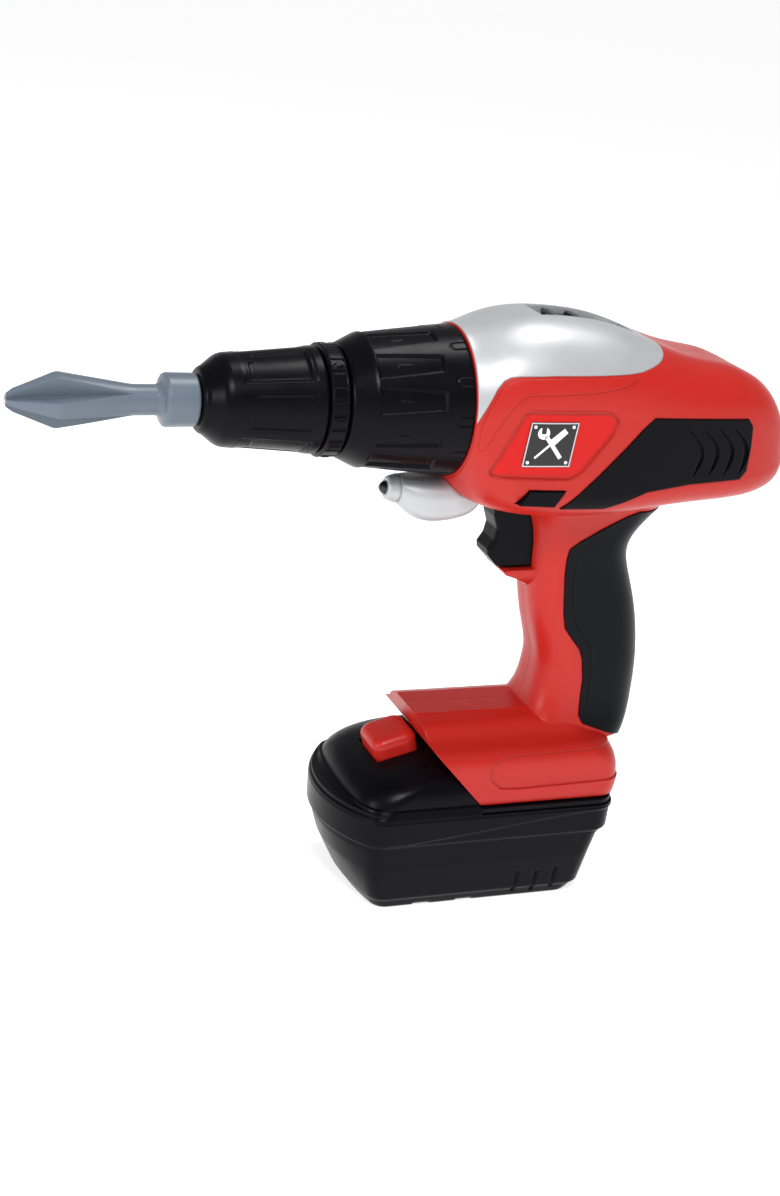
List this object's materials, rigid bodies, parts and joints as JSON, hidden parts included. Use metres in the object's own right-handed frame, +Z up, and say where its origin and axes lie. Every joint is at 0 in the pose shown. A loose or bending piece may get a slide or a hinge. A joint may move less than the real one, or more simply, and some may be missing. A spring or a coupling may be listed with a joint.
{
  "type": "toy power drill",
  "caption": "Toy cordless drill with a spinning chuck and screwdriver bit, click collar, trigger, sliders, lamp and a slide-off battery base that it stands on.",
  "frame": {"origin": "middle of the bounding box, on the plane that the battery stands on", "axes": "-X along the barrel towards the bit, -Y to the drill's left side, +Z up"},
  "size_m": [0.298, 0.0704, 0.2302],
  "materials": {
    "red_shell": "moulded, satin to gloss",
    "silver_shell": "silver paint, satin",
    "black_shell": "fine spark-eroded grain, satin",
    "grip_rubber": "soft overmould, matt",
    "bit_grey": "moulded, satin",
    "badge_black": "gloss print under lacquer",
    "lens_smoke": "smoked clear, polished",
    "gear_nylon": "natural nylon",
    "gearbox_plastic": "moulded, matt",
    "steel": "zinc plated or drawn",
    "brass": "stamped or sintered",
    "cell_wrap": "printed sleeve, no mark"
  },
  "bodies": {
    "housing": {"housing_left": "red_shell", "housing_right": "red_shell", "housing_screws": "steel", "top_cover": "silver_shell", "speed_switch": "gearbox_plastic", "side_panel_left": "black_shell", "side_panel_right": "black_shell", "badge_left": "badge_black", "badge_right": "badge_black", "direction_switch": "gearbox_plastic", "grip_pad": "grip_rubber", "trigger_spring": "steel", "trigger_switch": "gearbox_plastic", "lamp_housing": "silver_shell", "lamp_bezel": "silver_shell", "lamp_led": "lens_smoke", "gearbox_case": "gearbox_plastic", "gearbox_cover": "gearbox_plastic", "spindle_bush": "brass", "layshaft_pin": "steel", "motor_can": "steel", "motor_cap": "gear_nylon", "motor_tabs": "brass", "click_spring": "steel", "shoe_terminals": "brass"},
    "chuck": {"chuck_sleeve": "black_shell", "lock_ring": "black_shell", "spindle": "steel", "output_wheel": "gear_nylon"},
    "bit": {"screwdriver_bit": "bit_grey"},
    "collar": {"torque_collar": "black_shell"},
    "layshaft": {"layshaft_wheels": "gear_nylon"},
    "rotor": {"motor_shaft": "steel", "motor_pinion": "gear_nylon"},
    "trigger": {"trigger": "black_shell"},
    "direction_slider": {"direction_slider": "black_shell"},
    "speed_slider": {"speed_slider": "black_shell"},
    "battery": {"battery_tub": "black_shell", "battery_cover": "black_shell", "battery_door": "black_shell", "door_screw": "steel", "battery_cells": "cell_wrap", "cell_contacts": "brass", "pack_terminals": "brass", "release_spring": "steel", "release_shelf": "gearbox_plastic"},
    "release_button": {"release_button": "red_shell"}
  },
  "joints": [
    {"name": "chuck_spin", "type": "hinge", "parent": "housing", "child": "chuck", "pos_m": [-0.0278, 0, 0.196], "axis": [1, 0, 0], "continuous": true},
    {"name": "bit_pull", "type": "slide", "parent": "chuck", "child": "bit", "axis": [-1, 0, 0], "range_m": [0, 0.03]},
    {"name": "collar_turn", "type": "hinge", "parent": "housing", "child": "collar", "pos_m": [-0.0078, 0, 0.196], "axis": [1, 0, 0], "continuous": true},
    {"name": "layshaft_spin", "type": "hinge", "parent": "housing", "child": "layshaft", "pos_m": [0.0382, 0.01131, 0.20731], "axis": [1, 0, 0], "continuous": true},
    {"name": "rotor_spin", "type": "hinge", "parent": "housing", "child": "rotor", "pos_m": [0.0622, 0, 0.196], "axis": [1, 0, 0], "continuous": true},
    {"name": "trigger_squeeze", "type": "slide", "parent": "housing", "child": "trigger", "axis": [1, 0, 0], "range_m": [0, 0.005], "stiffness_N_per_m": 300, "springref_m": -0.004},
    {"name": "direction_shift", "type": "slide", "parent": "housing", "child": "direction_slider", "axis": [0, 1, 0], "range_m": [-0.002, 0.002]},
    {"name": "speed_shift", "type": "slide", "parent": "housing", "child": "speed_slider", "axis": [0.9887, 0, -0.1502], "range_m": [-0.005, 0.005]},
    {"name": "battery_slide", "type": "slide", "parent": "housing", "child": "battery", "axis": [-1, 0, 0], "range_m": [0, 0.1]},
    {"name": "button_press", "type": "slide", "parent": "battery", "child": "release_button", "axis": [0.27, 0, -0.9629], "range_m": [0, 0.0025], "stiffness_N_per_m": 500, "springref_m": -0.002}
  ],
  "couplings": [
    {"joint": "layshaft_spin", "follows": "chuck_spin", "ratio": -2.3333},
    {"joint": "rotor_spin", "follows": "chuck_spin", "ratio": 7}
  ]
}
